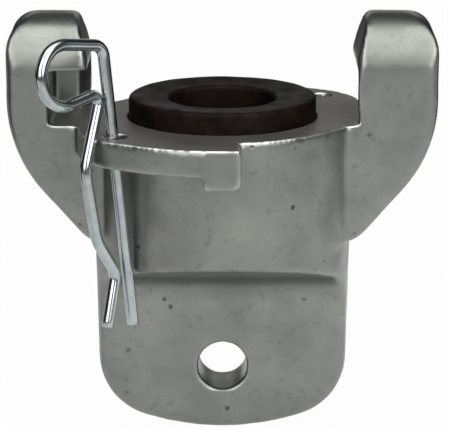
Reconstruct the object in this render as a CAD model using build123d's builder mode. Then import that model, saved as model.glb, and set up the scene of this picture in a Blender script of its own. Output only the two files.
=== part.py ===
"""Claw coupling blank cap: a two-lug hose coupling head with a closed end and a chain tongue.

The origin is the centre of the head's ground top face. +Z points out of the head, towards the
mating coupling, the two claws stand on the X axis and the tongue hangs down along -Z. The head
is the same when it is turned half a turn about Z. Lengths are in millimetres.
"""

import os
from math import cos, radians, sin, sqrt, tan

from build123d import *

os.makedirs("parts", exist_ok=True)

# Drum, the round body of the head
drum_radius = 20.65
drum_height = 20.5
shoulder_slope_deg = 20.0
shoulder_fillet = 6.5

# Tongue, the flat plate that the chain goes through
tongue_thickness = 9.6
tongue_length = 51.5
tongue_draft_deg = 1.2
tongue_end_radius = 40.0
tongue_corner_radius = 9.9
tongue_edge_round = 1.1
chain_hole_radius = 4.0
chain_hole_drop = 40.9

# Bore, closed below, and the seat of the washer
bore_radius = 9.5
bore_depth = 15.0
seat_depth = 4.0
seat_clearance = 0.12

# Washer
washer_outer_radius = 15.07
washer_hole_radius = 8.6
washer_stand_proud = 3.4
washer_edge_round = 0.7

# Claws, each an arm with a web at its closed end and a hook over a pocket
claw_half_width = 8.5
claw_height = 17.0
claw_reach = 34.15
claw_drum_gap = 0.85
claw_edge_round = 1.5
hook_tip_inset = 0.3
hook_tip_rise = 1.0
hook_top_setback = 1.5
hook_top_round = 1.6
claw_outer_round = 5.5
claw_bend_drop = 4.6
claw_bend_radius = 22.5
claw_root_drop = 19.2
claw_root_fillet = 4.0
claw_underside_slope_deg = 48.6
pocket_height = 8.8
pocket_depth = 6.75
web_thickness = 3.8
web_bevel_width = 1.7
web_bevel_depth = 2.9
gusset_angle_deg = 39.0

# Locking flanges, the two lips that the mating claws hook under
flange_overhang = 5.55
flange_thickness = 4.4
flange_far_end_deg = 83.5
ear_start_deg = 120.0
ear_overhang = 2.25
ear_round = 12.5
ear_root_round = 0.8
stop_block_depth = 6.3
stop_block_width_deg = 13.2
stop_block_round = 1.2

# Hole through each flange for the safety clip
clip_hole_deg = 136.25
clip_hole_overhang = 2.05
clip_hole_radius = 1.8

# Safety clip, one piece of spring wire in a plane that leans with its straight leg. Its bends
# are stated by how far they are from that leg and how high along it they are
wire_radius = 0.95
wire_end_chamfer = 0.2
clip_turn_deg = 45.0
clip_offset_x = 0.65
clip_offset_y = 0.3
leg_lean_deg = 5.5
leg_tip_drop = 30.5
loop_top_rise = 14.5
loop_corner_radius = 2.2
loop_width = 12.95
loop_slope_deg = 12.2
loop_radius = 4.6
loop_foot_rise = 6.28
crest_rise = 7.45
crest_radius = 1.3
grip_gap = 0.3
grip_lean_deg = 24.0
grip_drop = 3.8
grip_radius = 7.0
lower_bend_reach = 5.55
lower_bend_drop = 15.3
lower_bend_radius = 6.0
neck_reach = 2.4
neck_drop = 21.4
neck_radius = 3.0
bent_tip_reach = 5.4
bent_tip_drop = 29.5

# How far a cut runs past the surface that it opens
run_out = 1.0


def rounded_outline(corners):
    """A closed outline through (point, radius) pairs, with each corner rounded by its radius."""
    points = [point for point, radius in corners]
    return FilletPolyline(*points, radius=[radius for point, radius in corners], close=True)


def on_circle(radius, angle_deg):
    """The point of a circle about Z at an angle from +X."""
    return radius * cos(radians(angle_deg)), radius * sin(radians(angle_deg))


def is_rim(edge):
    """True for an edge of the shoulders or of the plate that runs round their outside."""
    centre = edge.center()
    return centre.Z < -drum_height - tongue_edge_round / 2 and abs(centre.Y) > -plate_y / 2


# Sizes that follow from the drum, so that the claws, the flanges and the clip keep clear of it
claw_inner_reach = drum_radius + claw_drum_gap
hook_tip_reach = claw_inner_reach - hook_tip_inset
hook_top_reach = claw_inner_reach + hook_top_setback
pocket_radius = drum_radius + pocket_depth
ear_reach = drum_radius + ear_overhang
flange_radius = drum_radius + flange_overhang
clip_hole_x, clip_hole_y = on_circle(drum_radius + clip_hole_overhang, -clip_hole_deg)
leg_x = clip_hole_x - clip_offset_x
leg_y = clip_hole_y - clip_offset_y

# The drum and the tongue: a round bar with a slight draft below the drum, cut to the tongue's
# end from the front, and from both sides of that to shoulders that run into the plate
shoulder_rise = tan(radians(shoulder_slope_deg))
shoulder_end = drum_height + (drum_radius - tongue_thickness / 2) * shoulder_rise
outside = drum_radius + run_out
end_rise = tongue_end_radius - sqrt(tongue_end_radius**2 - outside**2)
with BuildPart() as body:
    with BuildSketch():
        Circle(drum_radius)
    extrude(amount=-drum_height)
    with BuildSketch(Plane.XY.offset(-drum_height)):
        Circle(drum_radius)
    extrude(amount=drum_height - tongue_length, taper=tongue_draft_deg)
    with BuildSketch(Plane.XZ):
        with BuildLine():
            ThreePointArc((-outside, end_rise - tongue_length), (0, -tongue_length),
                          (outside, end_rise - tongue_length))
            Polyline((outside, end_rise - tongue_length), (outside, 0), (-outside, 0),
                     (-outside, end_rise - tongue_length))
        make_face()
    extrude(amount=outside, both=True, mode=Mode.INTERSECT)
    with BuildSketch(Plane.YZ):
        with BuildLine():
            plate_y = -tongue_thickness / 2
            rounded_outline([
                ((-outside, run_out * shoulder_rise - drum_height), 0),
                ((plate_y, -shoulder_end), shoulder_fillet),
                ((plate_y, -tongue_length - run_out), 0),
                ((-outside, -tongue_length - run_out), 0),
            ])
        make_face()
        mirror(about=Plane.YZ)
    extrude(amount=outside, both=True, mode=Mode.SUBTRACT)
    corners = body.edges().filter_by_position(Axis.Y, plate_y / 2, -plate_y / 2)
    fillet(corners.filter_by(GeomType.BSPLINE), radius=tongue_corner_radius)
    rims = body.edges().filter_by(Axis.X, reverse=True).filter_by(is_rim)
    fillet(rims, radius=tongue_edge_round)

# One claw, on the +X side, with its closed end towards -Y
arch_centre = claw_height - claw_half_width
underside_run = (claw_root_drop - claw_bend_drop) / tan(radians(claw_underside_slope_deg))
claw_heart = drum_radius / 2
web_face_y = web_thickness - claw_half_width
with BuildPart() as claw:
    with BuildSketch(Plane.XZ):
        with BuildLine():
            rounded_outline([
                ((claw_heart, 0), 0),
                ((claw_inner_reach, 0), 0),
                ((hook_tip_reach, pocket_height + hook_tip_rise), 0),
                ((hook_top_reach, claw_height), hook_top_round),
                ((claw_reach, claw_height), claw_outer_round),
                ((claw_reach, -claw_bend_drop), claw_bend_radius),
                ((claw_reach - underside_run, -claw_root_drop), claw_root_fillet),
                ((claw_heart, -claw_root_drop), 0),
            ])
        make_face()
    extrude(amount=claw_half_width, both=True)
    outer_edges = claw.faces().filter_by(Axis.Y).edges().filter_by_position(
        Axis.X, claw_inner_reach, claw_reach + run_out)
    fillet(outer_edges, radius=claw_edge_round)
    with BuildSketch(Plane.YZ):
        with Locations((0, arch_centre)):
            Circle(claw_half_width)
            Rectangle(2 * claw_half_width, arch_centre + claw_root_drop,
                      align=(Align.CENTER, Align.MAX))
    extrude(amount=claw_reach + run_out, mode=Mode.INTERSECT)
    bevel_slope = web_bevel_depth / web_bevel_width
    with BuildSketch():
        with BuildLine():
            Polyline((pocket_radius, web_face_y), (pocket_radius, claw_half_width + run_out),
                     (claw_heart, claw_half_width + run_out), (claw_heart, web_face_y),
                     (claw_inner_reach - run_out, web_face_y),
                     (claw_inner_reach - run_out, web_face_y - (web_bevel_width + run_out) * bevel_slope),
                     (claw_inner_reach + web_bevel_width, web_face_y), close=True)
        make_face()
    extrude(amount=pocket_height, mode=Mode.SUBTRACT)

# The web of metal that runs from the drum, at a tangent, to the closed side of each claw
tangent_x, tangent_y = on_circle(drum_radius, -gusset_angle_deg)
gusset_run = (-claw_half_width - tangent_y) * tan(radians(gusset_angle_deg))
with BuildPart() as gusset:
    with BuildSketch():
        with BuildLine():
            Polyline((0, 0), (tangent_x, tangent_y),
                     (tangent_x + gusset_run, -claw_half_width), close=True)
        make_face()
    extrude(amount=-claw_root_drop)

# One locking flange, on the -Y side. From the stop block under its far end it runs round to the
# claw on -X, where it ends in an ear with a wide round
near_x, near_y = on_circle(flange_radius, -ear_start_deg)
middle_deg = (flange_far_end_deg + ear_start_deg) / 2
ear_slope = tan(radians(ear_start_deg - 90))
ear_y = near_y + (ear_reach + near_x) * ear_slope
with BuildPart() as flange:
    with BuildSketch():
        with BuildLine():
            ThreePointArc(on_circle(flange_radius, -flange_far_end_deg),
                          on_circle(flange_radius, -middle_deg), (near_x, near_y))
            Polyline((near_x, near_y), (-ear_reach, ear_y), (-ear_reach, -claw_half_width),
                     (-claw_reach / 2 - ear_reach / 2, -claw_half_width),
                     (-claw_reach / 2 - ear_reach / 2, 0), (0, 0),
                     on_circle(flange_radius, -flange_far_end_deg))
        plan = make_face()
        tip, root = (plan.vertices().sort_by_distance((-ear_reach, y))[0]
                     for y in (ear_y, -claw_half_width))
        fillet(tip, radius=ear_round)
        fillet(root, radius=ear_root_round)
    extrude(amount=-flange_thickness)
    block_end_deg = flange_far_end_deg + stop_block_width_deg
    with BuildSketch():
        with BuildLine():
            ThreePointArc(on_circle(flange_radius, -flange_far_end_deg),
                          on_circle(flange_radius, -(flange_far_end_deg + block_end_deg) / 2),
                          on_circle(flange_radius, -block_end_deg))
            Polyline(on_circle(flange_radius, -block_end_deg), (0, 0),
                     on_circle(flange_radius, -flange_far_end_deg))
        make_face()
    extrude(amount=-stop_block_depth)
    fillet(flange.edges().group_by(Axis.Z)[0].sort_by(Axis.X)[-1], radius=stop_block_round)
    with BuildSketch():
        with Locations((clip_hole_x, clip_hole_y)):
            Circle(clip_hole_radius)
    extrude(amount=-flange_thickness, mode=Mode.SUBTRACT)

# The head is one casting
seat_radius = washer_outer_radius + seat_clearance
with BuildPart() as head_casting:
    add(body.part)
    with PolarLocations(0, 2):
        add(claw.part)
        add(gusset.part)
        add(flange.part)
    Hole(bore_radius, depth=bore_depth)
    Hole(seat_radius, depth=seat_depth)
    with BuildSketch(Plane.XZ):
        with Locations((0, -chain_hole_drop)):
            Circle(chain_hole_radius)
    extrude(amount=tongue_thickness, both=True, mode=Mode.SUBTRACT)
head_casting.part.label = "head_casting"
export_step(head_casting.part, "parts/head_casting.step")

# Rubber washer, pressed into its seat
with BuildPart() as sealing_washer:
    with BuildSketch(Plane.XY.offset(-seat_depth)):
        Circle(washer_outer_radius)
        Circle(washer_hole_radius, mode=Mode.SUBTRACT)
    extrude(amount=seat_depth + washer_stand_proud)
    fillet(sealing_washer.edges().group_by(Axis.Z)[-1], radius=washer_edge_round)
sealing_washer.part.label = "sealing_washer"
export_step(sealing_washer.part, "parts/sealing_washer.step")

# Safety clip: a straight leg through the flange's hole, and on the other side of the ear a bent
# leg that grips its rim. Places on it are (how far from the leg, how high along it)
lean = radians(leg_lean_deg)
turn = radians(clip_turn_deg)
out_x, out_y = -cos(lean) * cos(turn), -sin(turn)
from_x = leg_x - ear_round + ear_reach
from_y = leg_y - ear_y - ear_round * tan(radians(90 - ear_start_deg / 2))
bearing = ear_round + wire_radius + grip_gap
out_square = out_x**2 + out_y**2
out_along = from_x * out_x + from_y * out_y
rim_square = out_along**2 - out_square * (from_x**2 + from_y**2 - bearing**2)
grip_reach = (sqrt(rim_square) - out_along) / out_square
grip_slope = tan(radians(grip_lean_deg))
bends = [
    ((0, loop_top_rise), loop_corner_radius),
    ((loop_width, loop_top_rise + loop_width * tan(radians(loop_slope_deg))), loop_radius),
    ((loop_width, loop_foot_rise), loop_radius),
    ((grip_reach - crest_rise * grip_slope, crest_rise), crest_radius),
    ((grip_reach + grip_drop * grip_slope, -grip_drop), grip_radius),
    ((lower_bend_reach, -lower_bend_drop), lower_bend_radius),
    ((neck_reach, -neck_drop), neck_radius),
]
clip_place = (Location((leg_x, leg_y, 0)) * Rotation(0, -leg_lean_deg, 0)
              * Rotation(0, 0, 180 + clip_turn_deg) * Rotation(90, 0, 0))
with BuildPart() as safety_clip:
    with BuildLine(Plane(clip_place)) as route:
        FilletPolyline((0, -leg_tip_drop), *[place for place, radius in bends],
                       (bent_tip_reach, -bent_tip_drop), radius=[radius for place, radius in bends])
    with BuildSketch(Plane(origin=route.line @ 0, z_dir=route.line % 0)):
        Circle(wire_radius)
    sweep(path=route.line)
    rings = safety_clip.edges().filter_by(GeomType.CIRCLE)
    chamfer([rings.sort_by_distance(route.line @ end)[0] for end in (0, 1)], wire_end_chamfer)
safety_clip.part.label = "safety_clip"
export_step(safety_clip.part, "parts/safety_clip.step")
print("clip wire length", round(sum(edge.length for edge in route.edges()), 1))
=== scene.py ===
# %% [markdown]
# # A claw coupling blank cap
#
# This head closes the end of an air or water hose line. It is a small casting with two hooked
# claws, a black rubber washer pressed into its top face, a flat tongue for a chain, and a bent
# wire clip that keeps the joint from turning open. The CAD model is the frame: every piece below
# is made in its coordinates, in metres, with +Z out of the head and the claws on the X axis.

import math

import bmesh
import bpy
import numpy as np
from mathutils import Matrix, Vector


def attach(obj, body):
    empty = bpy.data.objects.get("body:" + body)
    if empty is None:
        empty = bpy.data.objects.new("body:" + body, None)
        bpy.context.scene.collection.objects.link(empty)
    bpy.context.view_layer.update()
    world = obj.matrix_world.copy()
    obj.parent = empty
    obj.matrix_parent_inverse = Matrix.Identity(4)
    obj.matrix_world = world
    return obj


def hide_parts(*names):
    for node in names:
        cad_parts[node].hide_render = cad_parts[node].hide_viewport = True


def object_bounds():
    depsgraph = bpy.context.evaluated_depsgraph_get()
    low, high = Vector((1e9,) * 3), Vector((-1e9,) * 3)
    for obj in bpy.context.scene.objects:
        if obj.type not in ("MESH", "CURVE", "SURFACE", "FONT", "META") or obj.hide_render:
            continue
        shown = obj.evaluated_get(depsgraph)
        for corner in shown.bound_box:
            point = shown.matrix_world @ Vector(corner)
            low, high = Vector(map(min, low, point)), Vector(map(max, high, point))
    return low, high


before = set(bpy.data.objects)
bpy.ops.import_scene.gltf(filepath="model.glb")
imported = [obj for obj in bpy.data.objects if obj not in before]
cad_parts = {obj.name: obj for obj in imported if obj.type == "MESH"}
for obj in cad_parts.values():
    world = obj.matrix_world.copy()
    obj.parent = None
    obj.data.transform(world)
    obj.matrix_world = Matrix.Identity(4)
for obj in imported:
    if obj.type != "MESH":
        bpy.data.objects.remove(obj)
cad_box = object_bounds()
MM = 0.001
print("nodes:", sorted(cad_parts))

# %% [markdown]
# ## Four small helpers
#
# Colours are written as sRGB hex values, as a paint card or a colour picker gives them, but the
# renderer works with linear light, so one function turns them. One function adds a node with its
# settings and links, one puts arrays of corners and faces into a mesh, and one starts a material.
# Some nodes name two inputs alike, so their inputs are given by number. A Mix node has its share
# at 0, its two numbers at 2 and 3, and its two colours at 6 and 7.


# %% Colour, node and mesh helpers
def linear(hex_colour):
    """sRGB hex to linear RGBA: c / 12.92 below 0.04045, else ((c + 0.055) / 1.055) ** 2.4."""
    srgb = np.array([int(hex_colour[i:i + 2], 16) for i in (1, 3, 5)]) / 255
    light = np.where(srgb <= 0.04045, srgb / 12.92, ((srgb + 0.055) / 1.055) ** 2.4)
    return (*light.tolist(), 1.0)


def add_node(tree, kind, settings, inputs):
    """Add a shader node with its settings; inputs are values, or other nodes' outputs to link."""
    node = tree.nodes.new("ShaderNode" + kind)
    for name, value in settings.items():
        setattr(node, name, value)
    for name, value in inputs.items():
        if isinstance(value, bpy.types.NodeSocket):
            tree.links.new(value, node.inputs[name])
        else:
            node.inputs[name].default_value = value
    return node


def new_piece(name, corners, faces):
    """A smooth-shaded object at the origin, from an (n, 3) array in metres and a list of faces."""
    mesh = bpy.data.meshes.new(name)
    mesh.from_pydata(corners.tolist(), [], faces.tolist() if hasattr(faces, "tolist") else faces)
    mesh.update()
    mesh.polygons.foreach_set("use_smooth", np.ones(len(mesh.polygons), bool))
    piece = bpy.data.objects.new(name, mesh)
    bpy.context.scene.collection.objects.link(piece)
    return piece


def new_material(name):
    """A node material and its tree, with no nodes in it yet."""
    material = bpy.data.materials.new(name)
    material.use_nodes = True
    material.node_tree.nodes.clear()
    return material, material.node_tree


# %% [markdown]
# ## The camera
#
# The photograph was taken from about 0.42 m away and 12 degrees above the top face, straight at
# the front. A long lens from there gives the narrow ellipses of the washer. The camera is aimed
# so that the middle of the picture falls just below the drum's centre, with no shift.

# %% Camera
camera_place = Vector((0.0, -410.4, 89.5)) * MM
camera_aim = Vector((0.33, 0.0, -16.58)) * MM
camera_data = bpy.data.cameras.new("camera")
camera_data.lens = 208.9
camera_data.sensor_width = 36.0
camera = bpy.data.objects.new("camera", camera_data)
camera.location = camera_place
camera.rotation_euler = (camera_aim - camera_place).to_track_quat("-Z", "Y").to_euler()
bpy.context.scene.collection.objects.link(camera)
bpy.context.scene.camera = camera
bpy.context.scene.view_settings.view_transform = "Standard"
print("camera is", round((camera_aim - camera_place).length / MM), "mm from its aim")

# %% [markdown]
# ## Noise as an array
#
# A casting is never quite flat. The sand leaves slow waves of a few millimetres and small dents,
# and those bend the reflections. Value noise gives both: random numbers on a cubic lattice,
# blended smoothly between the lattice points.


# %% Value noise
lattice_size = 32


def lattice_noise(points, cell, seed):
    """Value noise from -1 to 1: lattice values blended with weights w = t * t * (3 - 2 * t)."""
    values = np.random.default_rng(seed).uniform(-1, 1, (lattice_size,) * 3)
    place = points / cell
    low = np.floor(place).astype(int)
    t = place - low
    w = t * t * (3 - 2 * t)
    total = np.zeros(len(points))
    for corner in np.ndindex(2, 2, 2):
        index = (low + corner) % lattice_size
        weight = np.prod(np.where(np.array(corner) == 1, w, 1 - w), axis=1)
        total += weight * values[index[:, 0], index[:, 1], index[:, 2]]
    return total


# %% [markdown]
# ## The casting
#
# The head is one sand casting of malleable iron, plated with zinc. Its edges are never sharp: the
# mould crumbles a little at each corner, and barrel plating rounds them more. Modelling every
# fillet by hand would be long work, and a bevel modifier fails where many curved faces meet. So a
# copy of the CAD mesh is turned into an even skin of small squares, and relaxed: each corner
# moves towards the mean of its neighbours, which rounds edges and leaves flat faces flat.
# The top face and the bore are cut after casting, so they get no waves.


# %% Casting skin: an even mesh from the CAD solid
def mesh_values(items, name, width, kind=float):
    """One value, or row of values, of each corner or edge of a mesh, as an (n, width) array."""
    values = np.empty(len(items) * width, kind)
    items.foreach_get(name, values)
    return values.reshape(-1, width)


voxel = 0.42 * MM
merge_distance = 0.001 * MM
source = bpy.data.objects.new("casting_source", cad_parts["head_casting"].data.copy())
bpy.context.scene.collection.objects.link(source)
merged = bmesh.new()
merged.from_mesh(source.data)
bmesh.ops.remove_doubles(merged, verts=merged.verts, dist=merge_distance)
merged.to_mesh(source.data)
merged.free()
remesh = source.modifiers.new("even_skin", "REMESH")
remesh.mode = "VOXEL"
remesh.voxel_size = voxel
bpy.context.view_layer.update()
depsgraph = bpy.context.evaluated_depsgraph_get()
even_mesh = bpy.data.meshes.new_from_object(source.evaluated_get(depsgraph))
bpy.data.objects.remove(source)
corner_count = len(even_mesh.vertices)
corners = mesh_values(even_mesh.vertices, "co", 3)
edges = mesh_values(even_mesh.edges, "vertices", 2, int)
print("casting skin:", corner_count, "corners,", len(even_mesh.polygons), "faces")


# %% Relaxing the skin, and the slow waves of the sand
def neighbour_mean(values):
    """The mean of each corner's neighbours along the mesh edges."""
    start = np.concatenate([edges[:, 0], edges[:, 1]])
    end = np.concatenate([edges[:, 1], edges[:, 0]])
    count = np.bincount(start, minlength=corner_count)
    columns = values.reshape(corner_count, -1).T
    sums = [np.bincount(start, weights=column[end], minlength=corner_count) for column in columns]
    return (np.array(sums) / count).T.reshape(values.shape)


# The relaxing is gentler within 0.8 mm of the height of the top face, whose edge stays crisper
relax_rounds = 4
gentle_band = 0.8 * MM
for step in range(relax_rounds):
    softness = 0.25 + 0.35 * np.clip(np.abs(corners[:, 2]) / gentle_band, 0, 1)
    corners += softness[:, None] * (neighbour_mean(corners) - corners)
# Grinding leaves the top face flat right up to the washer's seat, from 15.3 to 16.5 mm out
seat_edge, flat_reach, lifted_depth = 15.3 * MM, 16.5 * MM, 0.4 * MM
reach = np.hypot(corners[:, 0], corners[:, 1])
beside_seat = (reach > seat_edge) & (reach < flat_reach) & (corners[:, 2] > -lifted_depth)
corners[beside_seat, 2] = 0.0
even_mesh.vertices.foreach_set("co", corners.ravel())
even_mesh.update()
normals = mesh_values(even_mesh.vertices, "normal", 3)


def ramp(values, low, high):
    """0 below low, 1 above high, and 3 t^2 - 2 t^3 between them."""
    t = np.clip((values - low) / (high - low), 0, 1)
    return t * t * (3 - 2 * t)


# The ground skin: what faces up at the height of the top face, and all inside the seat and bore
bore_reach, bore_depth, below_bore = 15.6 * MM, 15.0 * MM, 15.6 * MM
on_top = ramp(normals[:, 2], 0.8, 0.97) * ramp(-np.abs(corners[:, 2]), -0.5 * MM, -0.25 * MM)
in_bore = ramp(-reach, -bore_reach, -seat_edge) * ramp(corners[:, 2], -below_bore, -bore_depth)
ground = np.maximum(on_top, in_bore)
# Waves 6 mm long and 0.06 mm high, and dents of 2.2 mm and 0.035 mm
wave_size, wave_height = 6 * MM, 0.06
dent_size, dent_height = 2.2 * MM, 0.035
waves = (wave_height * lattice_noise(corners, wave_size, 3)
         + dent_height * lattice_noise(corners, dent_size, 5))
corners += normals * (waves * MM * (1 - ground))[:, None]

# %% [markdown]
# ## What the finish has to know about the shape
#
# Outer edges get a painted highlight, hollows a painted shade, and the rim of the ground face a
# painted highlight line. How far a corner stands out from the mean of its neighbours says how the
# skin bends: outwards on an edge, inwards in a hollow. The shares are kept as attributes, which the
# material reads.

# %% Shares for edges, hollows and the rim
bend = np.einsum("ij,ij->i", corners - neighbour_mean(corners), normals)
for step in range(2):
    bend = neighbour_mean(bend)
# Outer edges: the share of the painted highlight
painted_edge_highlight = ramp(bend, 0.012 * MM, 0.05 * MM)
# The rim, which gets a painted highlight line, lies 0.15 mm under the face, on skin that leans, and
# outside the washer
rim_depth = 0.15 * MM
rim = (ramp(-np.abs(corners[:, 2] + rim_depth), -0.4 * MM, -rim_depth)
       * ramp(normals[:, 2], 0.12, 0.4) * ramp(-normals[:, 2], -0.97, -0.8)
       * ramp(reach, 17.0 * MM, 18.0 * MM))
# Hollows: the share of the painted shade, spread a little over the neighbours
painted_hollow_shade = ramp(-bend, 0.006 * MM, 0.03 * MM)
for step in range(3):
    painted_hollow_shade = neighbour_mean(painted_hollow_shade)
even_mesh.vertices.foreach_set("co", corners.ravel())
for name, values in (("ground", ground), ("painted_edge_highlight", painted_edge_highlight), ("painted_hollow_shade", painted_hollow_shade),
                     ("rim", rim)):
    even_mesh.attributes.new(name, "FLOAT", "POINT").data.foreach_set("value", values)
even_mesh.polygons.foreach_set("use_smooth", np.ones(len(even_mesh.polygons), bool))
even_mesh.update()
casting = bpy.data.objects.new("casting_skin", even_mesh)
bpy.context.scene.collection.objects.link(casting)
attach(casting, "head")
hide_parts("head_casting")
print("edge share", round(float(painted_edge_highlight.mean()), 3))
print("hollow share", round(float(painted_hollow_shade.mean()), 3))

# %% [markdown]
# ## The zinc plated casting
#
# Zinc plating on a cast surface is a soft, slightly green grey metal: metallic, with a roughness
# of 0.3 to 0.4, so it shows broad bright patches and no clear picture of the room. The sand grain
# is about 0.3 mm and shows as a fine bump. Pin holes of up to about a millimetre are scattered
# over it and look dark. Outer edges are painted paler as a highlight, and hollows darker as shade.
# The ground top face is darker and browner, because grinding cuts down to the iron, and its rim
# gets a painted highlight line. The four attributes say which is where.

# %% Material: zinc plated cast iron
plated, tree = new_material("zinc_plated_cast_iron")
place = add_node(tree, "TexCoord", {}, {}).outputs["Object"]
is_ground = add_node(tree, "Attribute", {"attribute_name": "ground"}, {}).outputs["Fac"]
edge_highlight_share = add_node(tree, "Attribute", {"attribute_name": "painted_edge_highlight"}, {}).outputs["Fac"]
hollow_shade_share = add_node(tree, "Attribute", {"attribute_name": "painted_hollow_shade"}, {}).outputs["Fac"]
is_rim = add_node(tree, "Attribute", {"attribute_name": "rim"}, {}).outputs["Fac"]
# Sizes of the patterns. A noise's scale is waves per metre, so 1 over its size.
cloud_size, grain_size, pit_spacing = 9 * MM, 0.5 * MM, 4.5 * MM
smudge_size, highlight_patch_size = 1.5 * MM, 2.2 * MM
# Clouds in the plating
clouds = add_node(tree, "TexNoise", {}, {"Vector": place, "Scale": 1 / cloud_size, "Detail": 4.0,
                                         "Roughness": 0.6})
# Sand grain, drawn at 0.5 mm because 0.3 mm is too fine to show in the render
grain = add_node(tree, "TexNoise", {}, {"Vector": place, "Scale": 1 / grain_size, "Detail": 3.0})
# Pin holes: a spot where the skin passes close to one of a cloud of points 4.5 mm apart
cells = add_node(tree, "TexVoronoi", {"feature": "F1"}, {"Vector": place, "Scale": 1 / pit_spacing})
pits = add_node(tree, "MapRange", {"interpolation_type": "SMOOTHSTEP"},
                {"Value": cells.outputs["Distance"], "From Min": 0.13, "From Max": 0.03})
# Smudges, where the plating took dirt
smudges = add_node(tree, "TexNoise", {}, {"Vector": place, "Scale": 1 / smudge_size, "Detail": 5.0,
                                          "Roughness": 0.65})
smudges = add_node(tree, "MapRange", {}, {"Value": smudges.outputs["Fac"], "From Min": 0.56,
                                          "From Max": 0.74, "To Max": 0.55})
# Pin holes come in swarms, so the clouds switch them off over part of the skin
few = add_node(tree, "MapRange", {}, {"Value": clouds.outputs["Fac"], "From Min": 0.46,
                                      "From Max": 0.56})
pits = add_node(tree, "Math", {"operation": "MULTIPLY"}, {0: pits.outputs[0], 1: few.outputs[0]})
tone = add_node(tree, "ValToRGB", {}, {"Fac": clouds.outputs["Fac"]})
for stop, position, shade in zip(tone.color_ramp.elements, (0.3, 0.7), ("#848781", "#989b94")):
    stop.position, stop.color = position, linear(shade)
# Painted highlight: outer edges are mixed towards a paler grey
with_edge_highlight = add_node(tree, "Mix", {"data_type": "RGBA"}, {0: edge_highlight_share, 6: tone.outputs[0],
                                                     7: linear("#b4b7b0")})
# Painted shade: hollows are mixed a quarter of the way towards a dark grey
hollow_shade_strength = add_node(tree, "Math", {"operation": "MULTIPLY"}, {0: hollow_shade_share, 1: 0.25})
with_hollow_shade = add_node(tree, "Mix", {"data_type": "RGBA"}, {0: hollow_shade_strength.outputs[0], 6: with_edge_highlight.outputs[2],
                                                     7: linear("#50514d")})
dirty = add_node(tree, "Mix", {"data_type": "RGBA"}, {0: smudges.outputs[0], 6: with_hollow_shade.outputs[2],
                                                      7: linear("#6a6b66")})
dotted = add_node(tree, "Mix", {"data_type": "RGBA"}, {0: pits.outputs[0], 6: dirty.outputs[2],
                                                       7: linear("#575853")})
iron_tone = add_node(tree, "ValToRGB", {}, {"Fac": clouds.outputs["Fac"]})
for stop, position, shade in zip(iron_tone.color_ramp.elements, (0.3, 0.75), ("#7f7d76", "#98968e")):
    stop.position, stop.color = position, linear(shade)
colour = add_node(tree, "Mix", {"data_type": "RGBA"}, {0: is_ground, 6: dotted.outputs[2],
                                                       7: iron_tone.outputs[0]})
# The rim of the ground face gets a near-white painted highlight: a line about 0.2 mm high just below
# the face, broken up into patches of about two millimetres
below = add_node(tree, "SeparateXYZ", {}, {"Vector": place}).outputs["Z"]
line_foot = add_node(tree, "MapRange", {}, {"Value": below, "From Min": -0.28 * MM,
                                            "From Max": -0.16 * MM})
line = add_node(tree, "Math", {"operation": "MULTIPLY"}, {0: line_foot.outputs[0], 1: is_rim})
rim_highlight_patches = add_node(tree, "TexNoise", {}, {"Vector": place, "Scale": 1 / highlight_patch_size, "Detail": 3.0})
rim_highlight_patches = add_node(tree, "MapRange", {}, {"Value": rim_highlight_patches.outputs["Fac"], "From Min": 0.34,
                                        "From Max": 0.54})
rim_highlight_patches = add_node(tree, "Math", {"operation": "MULTIPLY"}, {0: rim_highlight_patches.outputs[0],
                                                           1: line.outputs[0]})
colour = add_node(tree, "Mix", {"data_type": "RGBA"}, {0: rim_highlight_patches.outputs[0], 6: colour.outputs[2],
                                                       7: linear("#eff1ec")})
sheen = add_node(tree, "MapRange", {}, {"Value": clouds.outputs["Fac"], "From Min": 0.3,
                                        "From Max": 0.7, "To Min": 0.4, "To Max": 0.3})
grain_bump = add_node(tree, "Bump", {}, {"Strength": 0.12, "Distance": 0.05 * MM,
                                         "Height": grain.outputs["Fac"]})
pit_bump = add_node(tree, "Bump", {"invert": True}, {"Strength": 0.4, "Distance": 0.15 * MM,
                                                     "Height": pits.outputs[0],
                                                     "Normal": grain_bump.outputs[0]})
# A ground face is rougher than the plating
dullness = add_node(tree, "Mix", {"data_type": "FLOAT"}, {0: is_ground, 2: sheen.outputs[0],
                                                          3: 0.52})
metal = add_node(tree, "BsdfPrincipled", {}, {"Base Color": colour.outputs[2], "Metallic": 1.0,
                                              "Roughness": dullness.outputs[0],
                                              "Normal": pit_bump.outputs[0]})
add_node(tree, "OutputMaterial", {}, {"Surface": metal.outputs[0]})
casting.data.materials.clear()
casting.data.materials.append(plated)

# %% [markdown]
# ## The sealing washer
#
# The washer is a thick ring of black nitrile rubber, moulded, with soft corners. It is a turned
# shape, so it is a surface of revolution: a closed outline in radius and height, carried round Z.
# The outline is a rectangle with rounded corners, and its top dips a little towards the hole.


# %% Washer surface
def turned_ring(outline, turns):
    """Carry a closed (radius, height) outline round Z: (r cos a, r sin a, z) for each angle a."""
    angle = np.linspace(0, 2 * np.pi, turns, endpoint=False)[:, None]
    radius, height = outline[:, 0], outline[:, 1]
    grid = np.stack([radius * np.cos(angle), radius * np.sin(angle),
                     height + 0 * angle], axis=2)
    rows = len(outline)
    i, j = np.meshgrid(np.arange(turns), np.arange(rows), indexing="ij")
    i2, j2 = (i + 1) % turns, (j + 1) % rows
    faces = np.stack([i * rows + j, i2 * rows + j, i2 * rows + j2, i * rows + j2], axis=2)
    return grid.reshape(-1, 3), faces.reshape(-1, 4)


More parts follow.
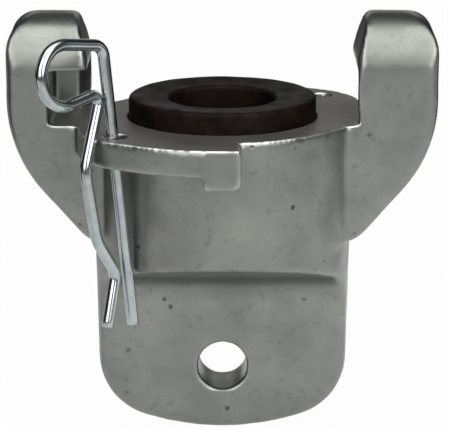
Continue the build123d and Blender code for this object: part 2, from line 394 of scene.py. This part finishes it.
def rounded_box(inner, outer, bottom, top, round_by, points):
    """A closed outline, anticlockwise from the lower outer corner, with quarter-circle corners."""
    centres = np.array([(outer, bottom), (outer, top), (inner, top), (inner, bottom)])
    inwards = np.array([(-1, 1), (-1, -1), (1, -1), (1, 1)]) * round_by
    quarter = np.linspace(0, np.pi / 2, points)
    arcs = []
    for turn, (centre, shift) in enumerate(zip(centres, inwards)):
        a = quarter + (turn - 1) * np.pi / 2
        arcs.append(centre + shift + round_by * np.stack([np.cos(a), np.sin(a)], axis=1))
    return np.concatenate(arcs)


def divided(outline, step):
    """Put extra points on the closed outline's sides, so that none is longer than step."""
    following = np.roll(outline, -1, axis=0)
    parts = np.maximum(1, np.ceil(np.linalg.norm(following - outline, axis=1) / step)).astype(int)
    return np.concatenate([a + (b - a) * (np.arange(n) / n)[:, None]
                           for a, b, n in zip(outline, following, parts)])


# Washer sizes in millimetres
washer_outer, washer_hole, washer_foot, washer_top = 15.07, 8.6, -4.0, 3.4
edge_round, edge_points, side_step, washer_turns = 0.7, 7, 0.35, 240
outline = divided(rounded_box(washer_hole, washer_outer, washer_foot, washer_top,
                              edge_round, edge_points), side_step)
washer_corners, washer_faces = turned_ring(outline, washer_turns)
radius = np.hypot(washer_corners[:, 0], washer_corners[:, 1])
# The top dips from its outer edge to the hole, and is slightly uneven
top_dip, top_unevenness, unevenness_size = 0.35, 0.05, 3.0
near_top = ramp(washer_corners[:, 2], 2.0, 3.2)
dip = top_dip * ramp(-radius, -washer_outer + 0.8, -washer_hole - 0.6)
uneven = top_unevenness * lattice_noise(washer_corners, unevenness_size, 11)
washer_corners[:, 2] -= near_top * (dip - uneven)
washer = new_piece("washer_rubber", washer_corners * MM, washer_faces)
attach(washer, "head")
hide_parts("sealing_washer")
print("washer:", len(washer_faces), "faces")

# %% [markdown]
# ## Moulded black rubber
#
# Nitrile rubber is black with carbon, and goes brown at its surface, in patches of a few
# millimetres. It isn't metallic, its IOR is about 1.5, and a moulded face is dull, with roughness
# near 0.55. Dust and age take nearly all its gloss, so the specular level is far below the usual
# 0.5. The mould leaves small flow marks.

# %% Material: moulded nitrile rubber
rubber, tree = new_material("moulded_nitrile_rubber")
place = add_node(tree, "TexCoord", {}, {}).outputs["Object"]
patch_size, mark_size = 2.5 * MM, 0.6 * MM
patches = add_node(tree, "TexNoise", {}, {"Vector": place, "Scale": 1 / patch_size, "Detail": 5.0})
tone = add_node(tree, "ValToRGB", {}, {"Fac": patches.outputs["Fac"]})
for stop, position, shade in zip(tone.color_ramp.elements, (0.4, 0.66), ("#0a0504", "#1a110d")):
    stop.position, stop.color = position, linear(shade)
# Flow marks in the rubber
marks = add_node(tree, "TexNoise", {}, {"Vector": place, "Scale": 1 / mark_size, "Detail": 2.0})
mark_bump = add_node(tree, "Bump", {}, {"Strength": 0.25, "Distance": 0.06 * MM,
                                        "Height": marks.outputs["Fac"]})
dullness = add_node(tree, "MapRange", {}, {"Value": patches.outputs["Fac"], "From Min": 0.3,
                                           "From Max": 0.7, "To Min": 0.62, "To Max": 0.48})
surface = add_node(tree, "BsdfPrincipled", {}, {"Base Color": tone.outputs[0], "IOR": 1.5,
                                                "Specular IOR Level": 0.1,
                                                "Roughness": dullness.outputs[0],
                                                "Normal": mark_bump.outputs[0]})
add_node(tree, "OutputMaterial", {}, {"Surface": surface.outputs[0]})
washer.data.materials.append(rubber)

# %% [markdown]
# ## The safety clip
#
# The clip is one piece of 1.9 mm spring wire, bent in a plane: a straight leg that drops through
# the hole in the flange, a finger loop, and a bent leg that grips the rim of the flange. A bent
# wire is a circle carried along a path. The path is a list of corners, each rounded by a bend
# radius, as a wire bender would set it. It is drawn flat first, as how far out from the straight
# leg and how high along it, and that plane is then turned half way round towards the camera.

# %% Wire path, in millimetres
wire_radius = 0.95
leg_tip_drop, loop_top_rise = 30.5, 14.5
loop_width, loop_far_rise, loop_foot_rise = 12.95, 17.3, 6.28
grip_foot, grip_slope, crest_rise, grip_drop = 4.68, math.tan(math.radians(24)), 7.45, 3.8
lower_bend, neck, bent_tip = (5.55, -15.3), (2.4, -21.4), (5.4, -29.5)
wire_corners = np.array([
    (0, -leg_tip_drop), (0, loop_top_rise), (loop_width, loop_far_rise),
    (loop_width, loop_foot_rise), (grip_foot - crest_rise * grip_slope, crest_rise),
    (grip_foot + grip_drop * grip_slope, -grip_drop), lower_bend, neck, bent_tip])
bend_radii = [2.2, 4.6, 4.6, 1.3, 7.0, 6.0, 3.0]


def bent_path(points, radii, step):
    """Straight runs joined by arcs: at each corner the arc starts r tan(turn / 2) before it."""
    pieces = [points[:1]]
    for before, corner, after, radius in zip(points, points[1:], points[2:], radii):
        a = (before - corner) / np.linalg.norm(before - corner)
        b = (after - corner) / np.linalg.norm(after - corner)
        half = 0.5 * np.arccos(np.clip(a @ b, -1, 1))
        centre = corner + (a + b) / np.linalg.norm(a + b) * radius / np.sin(half)
        start = corner + a * radius / np.tan(half)
        end = corner + b * radius / np.tan(half)
        sweep = np.pi - 2 * half
        t = np.linspace(0, 1, max(6, int(np.ceil(radius * sweep / step))) + 1)[:, None]
        first, last = start - centre, end - centre
        pieces.append(centre + (np.sin((1 - t) * sweep) * first + np.sin(t * sweep) * last)
                      / np.sin(sweep))
    pieces.append(points[-1:])
    return np.concatenate(pieces)


arc_step, run_step = 0.3, 1.2
path = bent_path(wire_corners, bend_radii, arc_step)
gaps = np.linalg.norm(np.diff(path, axis=0), axis=1)
parts = np.maximum(1, np.ceil(gaps / run_step)).astype(int)
path = np.concatenate([a + (b - a) * (np.arange(n) / n)[:, None]
                       for a, b, n in zip(path, path[1:], parts)] + [path[-1:]])
print("wire length", round(float(gaps.sum()), 1), "mm in", len(path), "steps")


# %% Wire surface
def wire_tube(path, radius, sides):
    """A circle carried along a flat path: p + r (cos a * across + sin a * depth), where across
    is the path's own normal and depth the plane's. Each end is a chamfer ring round a point."""
    along = np.gradient(path, axis=0)
    along /= np.linalg.norm(along, axis=1)[:, None]
    bevel = 0.2
    centres = np.concatenate([path[:1], path[:1] + bevel * along[:1], path[1:-1],
                              path[-1:] - bevel * along[-1:], path[-1:]])
    along = np.concatenate([along[:1], along, along[-1:]])
    size = np.full(len(centres), radius)
    size[[0, -1]] = radius - bevel
    angle = np.linspace(0, 2 * np.pi, sides, endpoint=False)
    across = np.stack([along[:, 1], -along[:, 0]], axis=1)
    flat = centres[:, None, :] + size[:, None, None] * np.cos(angle)[:, None] * across[:, None, :]
    depth = size[:, None] * np.sin(angle)
    rings = np.concatenate([flat, depth[:, :, None]], axis=2).reshape(-1, 3)
    count = len(centres)
    i, j = np.meshgrid(np.arange(count - 1), np.arange(sides), indexing="ij")
    j2 = (j + 1) % sides
    quads = np.stack([i * sides + j, i * sides + j2, (i + 1) * sides + j2, (i + 1) * sides + j],
                     axis=2).reshape(-1, 4)
    ends = np.pad(centres[[0, -1]], ((0, 0), (0, 1)))
    first, last, tail = len(rings), len(rings) + 1, (count - 1) * sides
    caps = [(first, (k + 1) % sides, k) for k in range(sides)]
    caps += [(last, tail + k, tail + (k + 1) % sides) for k in range(sides)]
    return np.concatenate([rings, ends]), [tuple(q) for q in quads.tolist()] + caps


tube_sides = 32
clip_corners, clip_faces = wire_tube(path, wire_radius, tube_sides)
# The straight leg leans 5.5 degrees in X, and the plane is turned 45 degrees about that leg
lean, turn = math.radians(5.5), math.radians(45)
out = np.array([-math.cos(turn) * math.cos(lean), -math.sin(turn),
                -math.cos(turn) * math.sin(lean)])
leg = np.array([-math.sin(lean), 0, math.cos(lean)])
leg_foot = np.array([-17.05, -16.0, 0.0])
clip_corners = leg_foot + clip_corners @ np.array([out, leg, np.cross(out, leg)])
clip = new_piece("clip_wire", clip_corners * MM, clip_faces)
outward = bmesh.new()
outward.from_mesh(clip.data)
bmesh.ops.recalc_face_normals(outward, faces=outward.faces)
outward.to_mesh(clip.data)
outward.free()
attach(clip, "clip")
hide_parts("safety_clip")

# %% [markdown]
# ## Bright zinc on spring wire
#
# The wire is drawn steel with bright zinc over it: a bluish, nearly mirror surface. A roughness
# of 0.13 to 0.22 keeps the streaks sharp, with a slight haze of a few millimetres. It is the
# shiniest thing on the part, so it shows the lamps as white streaks and the dark room as black.

# %% Material: bright zinc plated spring steel
bright, tree = new_material("bright_zinc_spring_steel")
place = add_node(tree, "TexCoord", {}, {}).outputs["Object"]
haze_size = 3 * MM
haze = add_node(tree, "TexNoise", {}, {"Vector": place, "Scale": 1 / haze_size, "Detail": 4.0})
tone = add_node(tree, "ValToRGB", {}, {"Fac": haze.outputs["Fac"]})
for stop, position, shade in zip(tone.color_ramp.elements, (0.3, 0.7), ("#a9b1b2", "#c6cdce")):
    stop.position, stop.color = position, linear(shade)
gloss = add_node(tree, "MapRange", {}, {"Value": haze.outputs["Fac"], "From Min": 0.3,
                                        "From Max": 0.7, "To Min": 0.22, "To Max": 0.13})
surface = add_node(tree, "BsdfPrincipled", {}, {"Base Color": tone.outputs[0], "Metallic": 1.0,
                                                "Roughness": gloss.outputs[0]})
add_node(tree, "OutputMaterial", {}, {"Surface": surface.outputs[0]})
clip.data.materials.append(bright)

# %% [markdown]
# ## The studio
#
# The part stands on a floor that the camera sees as nearly white, before a white backdrop. What is
# left of it for the camera is its real lit paint, so the shadow stays. Metal and glass mirror the
# same floor, but at levels of their own: dark in the part's shade, bright round it, dark far out,
# and a little darker to the left. The walls are grey and fade upwards, and the room in front is
# dark. Two soft boxes stand left and right in front, and one hangs above. Metal needs something
# dark to show its shape, so three dark cards stand at the sides, as a photographer puts them.

# %% Floor
floor_z = cad_box[0][2]
ring = np.array([0.0, 0.1, 0.4, 1.2, 4.0])[:, None]
floor_sides = 64
angle = np.linspace(0, 2 * np.pi, floor_sides, endpoint=False)
floor_corners = np.stack([ring * np.cos(angle), ring * np.sin(angle),
                          floor_z + 0 * ring * angle], axis=2).reshape(-1, 3)
i, j = np.meshgrid(np.arange(len(ring) - 1), np.arange(floor_sides), indexing="ij")
j2 = (j + 1) % floor_sides
floor_faces = np.stack([i * floor_sides + j, (i + 1) * floor_sides + j,
                        (i + 1) * floor_sides + j2, i * floor_sides + j2], axis=2).reshape(-1, 4)
floor = new_piece("floor", floor_corners, floor_faces)
white, tree = new_material("white_floor")
rays = add_node(tree, "LightPath", {}, {})
mirrored = add_node(tree, "Math", {"operation": "MAXIMUM"}, {
    0: rays.outputs["Is Glossy Ray"], 1: rays.outputs["Is Transmission Ray"]}).outputs[0]
camera_share = 0.97
seen = add_node(tree, "Math", {"operation": "MULTIPLY"}, {0: rays.outputs["Is Camera Ray"],
                                                          1: camera_share})
share = add_node(tree, "Math", {"operation": "MAXIMUM"}, {0: seen.outputs[0], 1: mirrored})
# Mirror rays see the floor dark in the part's own shade, lit round it, and dark far out
place = add_node(tree, "TexCoord", {}, {}).outputs["Object"]
far = add_node(tree, "VectorMath", {"operation": "LENGTH"}, {0: place})
lit = add_node(tree, "ValToRGB", {}, {"Fac": far.outputs["Value"]})
lit.color_ramp.interpolation = "EASE"
shade_reach, lit_start, lit_end, dark_start = 0.022, 0.07, 0.34, 0.46
lit.color_ramp.elements[0].position = shade_reach
lit.color_ramp.elements[1].position = lit_start
lit.color_ramp.elements.new(lit_end)
lit.color_ramp.elements.new(dark_start)
for stop, level in zip(lit.color_ramp.elements, (0.12, 0.9, 0.9, 0.05)):
    stop.color = (level, level, level, 1)
# The light falls off towards the left, so the floor there is darker in the metal
across = add_node(tree, "SeparateXYZ", {}, {"Vector": place}).outputs["X"]
fall_off = add_node(tree, "MapRange", {}, {"Value": across, "From Min": -0.06, "From Max": 0.0,
                                           "To Min": 0.78, "To Max": 1.0})
lit_across = add_node(tree, "Math", {"operation": "MULTIPLY"}, {0: lit.outputs[0],
                                                                1: fall_off.outputs[0]})
level = add_node(tree, "Mix", {"data_type": "FLOAT"}, {0: mirrored, 2: 1.0,
                                                       3: lit_across.outputs[0]})
paint = add_node(tree, "BsdfDiffuse", {}, {"Color": linear("#e6e6e4")})
glow = add_node(tree, "Emission", {}, {"Color": (1, 1, 1, 1), "Strength": level.outputs[0]})
mixed = add_node(tree, "MixShader", {}, {0: share.outputs[0], 1: paint.outputs[0],
                                         2: glow.outputs[0]})
add_node(tree, "OutputMaterial", {}, {"Surface": mixed.outputs[0]})
floor.data.materials.append(white)

# %% Room: grey walls that fade from 14 to 33 degrees up, dark in front, white to the camera
world = bpy.data.worlds.new("room")
bpy.context.scene.world = world
world.use_nodes = True
tree = world.node_tree
tree.nodes.clear()
direction = add_node(tree, "TexCoord", {}, {}).outputs["Generated"]
height = add_node(tree, "SeparateXYZ", {}, {"Vector": direction}).outputs["Z"]
walls = add_node(tree, "ValToRGB", {}, {"Fac": height})
for stop, position, level in zip(walls.color_ramp.elements, (0.25, 0.55), (0.6, 0.07)):
    stop.position, stop.color = position, (level, level, level, 1)
depth = add_node(tree, "SeparateXYZ", {}, {"Vector": direction}).outputs["Y"]
front = add_node(tree, "MapRange", {}, {"Value": depth, "From Min": -0.2, "From Max": 0.3,
                                        "To Min": 0.06, "To Max": 1.0})
sky = add_node(tree, "Background", {}, {"Color": walls.outputs[0], "Strength": front.outputs[0]})
paper = add_node(tree, "Background", {}, {"Color": (1, 1, 1, 1), "Strength": 1.0})
backdrop = add_node(tree, "MixShader", {}, {
    0: add_node(tree, "LightPath", {}, {}).outputs["Is Camera Ray"], 1: sky.outputs[0],
    2: paper.outputs[0]})
add_node(tree, "OutputWorld", {}, {"Surface": backdrop.outputs[0]})


# %% Soft boxes and dark cards
def soft_box(name, azimuth, elevation, distance, width, height, glow):
    """An area lamp aimed at the part; its power is glow * pi * width * height."""
    data = bpy.data.lights.new(name, "AREA")
    data.shape = "RECTANGLE"
    data.size, data.size_y = width, height
    data.energy = glow * math.pi * width * height
    lamp = bpy.data.objects.new(name, data)
    a, e = math.radians(azimuth), math.radians(elevation)
    side = Vector((math.sin(a) * math.cos(e), -math.cos(a) * math.cos(e), math.sin(e)))
    lamp.location = side * distance
    lamp.rotation_euler = side.to_track_quat("Z", "Y").to_euler()
    lamp.visible_camera = False
    bpy.context.scene.collection.objects.link(lamp)
    print(name, round(data.energy, 2), "W")


soft_box("left_box", azimuth=-27, elevation=26, distance=0.6, width=0.40, height=0.52, glow=2.7)
soft_box("right_box", azimuth=32, elevation=27, distance=0.6, width=0.42, height=0.52, glow=3.2)
soft_box("top_box", azimuth=0, elevation=76, distance=0.6, width=0.8, height=0.5, glow=2.2)

card, tree = new_material("dark_card")
felt = add_node(tree, "BsdfDiffuse", {}, {"Color": linear("#202020")})
add_node(tree, "OutputMaterial", {}, {"Surface": felt.outputs[0]})
# Each card stands along Y: its X, its near end and its far end
card_foot, card_top = floor_z + 0.001, 0.2
cards = {"near_card": (-0.12, -0.037, 0.014), "left_card": (-0.12, 0.06, 0.4),
         "right_card": (0.12, 0.03, 0.4)}
for name, (x, near, far_end) in cards.items():
    board = [(x, near, card_foot), (x, far_end, card_foot), (x, far_end, card_top),
             (x, near, card_top)]
    flag = new_piece(name, np.array(board), np.array([(0, 1, 2, 3)]))
    flag.data.materials.append(card)
    flag.visible_camera = flag.visible_diffuse = flag.visible_shadow = False

# %% The CAD model's box, in millimetres
print("cad box", [[round(v / MM, 1) for v in corner] for corner in cad_box])
